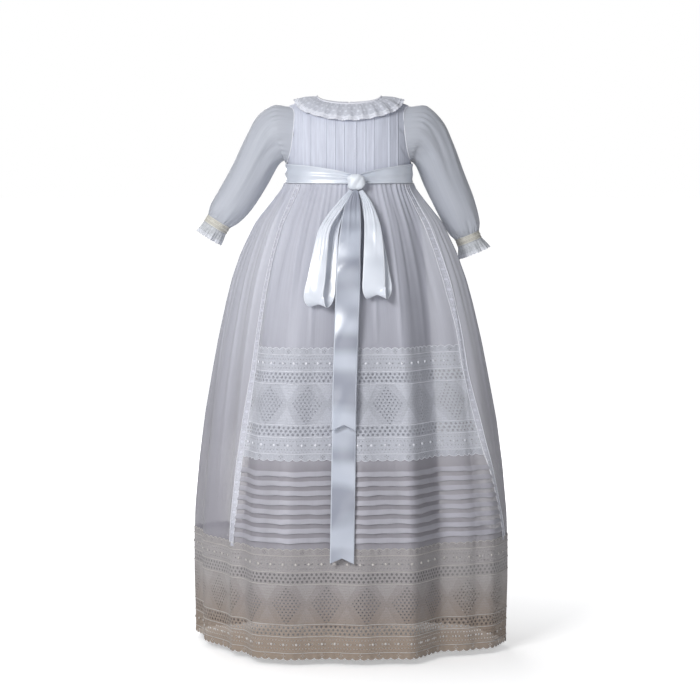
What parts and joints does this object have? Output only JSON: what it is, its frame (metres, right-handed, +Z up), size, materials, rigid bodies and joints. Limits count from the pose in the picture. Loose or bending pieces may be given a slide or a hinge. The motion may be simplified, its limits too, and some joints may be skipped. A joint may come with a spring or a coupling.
{
  "type": "infant's lace gown",
  "caption": "Long white christening gown with pintucked bodice, gathered lace collar, long sleeves, lace-banded skirt over a slip, and a satin sash tied in a bow.",
  "frame": {"origin": "where the wearer's shoulders carry the gown: midway between them, at the height of the base of the neck", "axes": "+Z up towards the neck, -Y out of the gown's front, +X to the right of someone looking at the front"},
  "size_m": [0.5124, 0.3528, 0.8819],
  "materials": {
    "organza": "sheer, crisp, slight sheen",
    "bodice_organza": "sheer over a plain lining",
    "lace": "matt cotton lace",
    "batiste": "matt, soft",
    "satin": "satin",
    "cream_lace": "matt cotton lace",
    "button": "gloss"
  },
  "bodies": {
    "root": {"bodice_front": "bodice_organza", "bodice_back_left": "bodice_organza", "bodice_back_right": "bodice_organza", "button_1": "button", "button_2": "button", "button_3": "button", "collar": "lace", "sleeve_left": "organza", "sleeve_right": "organza", "cuff_left": "cream_lace", "cuff_right": "cream_lace", "cuff_ruffle_left": "lace", "cuff_ruffle_right": "lace", "skirt_front_upper": "organza", "lace_band_front": "lace", "skirt_front_tucked": "organza", "skirt_left": "organza", "skirt_right": "organza", "skirt_back": "organza", "lace_strip_left": "lace", "lace_strip_right": "lace", "hem_lace_front": "lace", "hem_lace_left": "lace", "hem_lace_right": "lace", "hem_lace_back": "lace", "underskirt_front": "batiste", "underskirt_back": "batiste", "sash_left": "satin", "sash_right": "satin", "sash_back": "satin", "bow_knot": "satin", "bow_loop_left": "satin", "bow_loop_right": "satin", "tail_short": "satin", "tail_long": "satin"}
  },
  "joints": []
}
